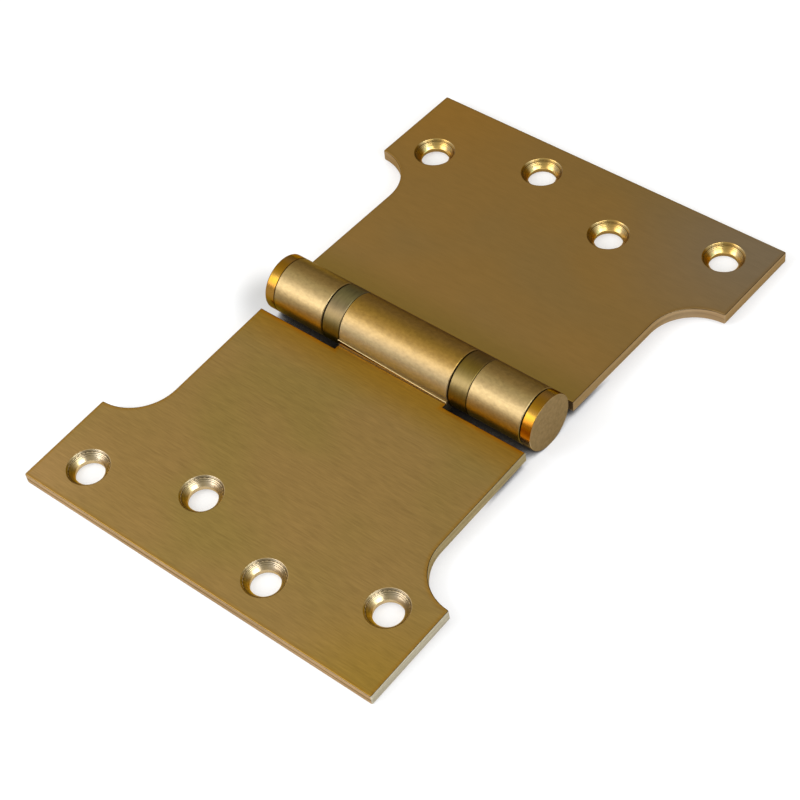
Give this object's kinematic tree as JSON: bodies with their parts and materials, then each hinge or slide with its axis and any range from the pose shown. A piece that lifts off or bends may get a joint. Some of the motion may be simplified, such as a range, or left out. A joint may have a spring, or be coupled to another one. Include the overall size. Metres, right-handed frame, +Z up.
{
  "type": "parliament hinge",
  "caption": "Parliament hinge in satin brass: scalloped leaves on a capped barrel with ball bearings, laid open with its countersunk faces up.",
  "frame": {"origin": "the middle of the hinge pin", "axes": "+Z up, out of the countersunk faces; +Y along the pin to the back cap; +X to the far leaf"},
  "size_m": [0.1518, 0.102, 0.014],
  "materials": {
    "near_leaf_brass": "satin, finely brushed along the pin",
    "far_leaf_brass": "satin, finely brushed along the pin",
    "shell_brass": "satin, turned",
    "polished_brass": "bright turned side, satin end",
    "cage_brass": "plain",
    "bright_steel": "ground"
  },
  "bodies": {
    "near": {"near_leaf": "near_leaf_brass", "front_inner_race": "bright_steel", "back_inner_race": "bright_steel"},
    "far": {"far_leaf": "far_leaf_brass", "hinge_pin": "bright_steel", "front_cap": "polished_brass", "back_cap": "polished_brass", "front_bearing_shell": "shell_brass", "front_outer_race": "bright_steel", "back_bearing_shell": "shell_brass", "back_outer_race": "bright_steel"},
    "front_cage": {"front_ball_cage": "cage_brass", "front_ball_1": "bright_steel", "front_ball_2": "bright_steel", "front_ball_3": "bright_steel", "front_ball_4": "bright_steel", "front_ball_5": "bright_steel", "front_ball_6": "bright_steel", "front_ball_7": "bright_steel", "front_ball_8": "bright_steel"},
    "back_cage": {"back_ball_cage": "cage_brass", "back_ball_1": "bright_steel", "back_ball_2": "bright_steel", "back_ball_3": "bright_steel", "back_ball_4": "bright_steel", "back_ball_5": "bright_steel", "back_ball_6": "bright_steel", "back_ball_7": "bright_steel", "back_ball_8": "bright_steel"}
  },
  "joints": [
    {"name": "leaf_swing", "type": "hinge", "parent": "near", "child": "far", "pos_m": [0, 0, 0], "axis": [0, -1, 0], "range_deg": [-118, 183.54]},
    {"name": "front_cage_turn", "type": "hinge", "parent": "near", "child": "front_cage", "pos_m": [0, 0, 0], "axis": [0, -1, 0], "range_deg": [-59.5, 92.27]},
    {"name": "back_cage_turn", "type": "hinge", "parent": "near", "child": "back_cage", "pos_m": [0, 0, 0], "axis": [0, -1, 0], "range_deg": [-59.5, 92.27]}
  ],
  "couplings": [
    {"joint": "front_cage_turn", "follows": "leaf_swing", "ratio": 0.5},
    {"joint": "back_cage_turn", "follows": "leaf_swing", "ratio": 0.5}
  ]
}
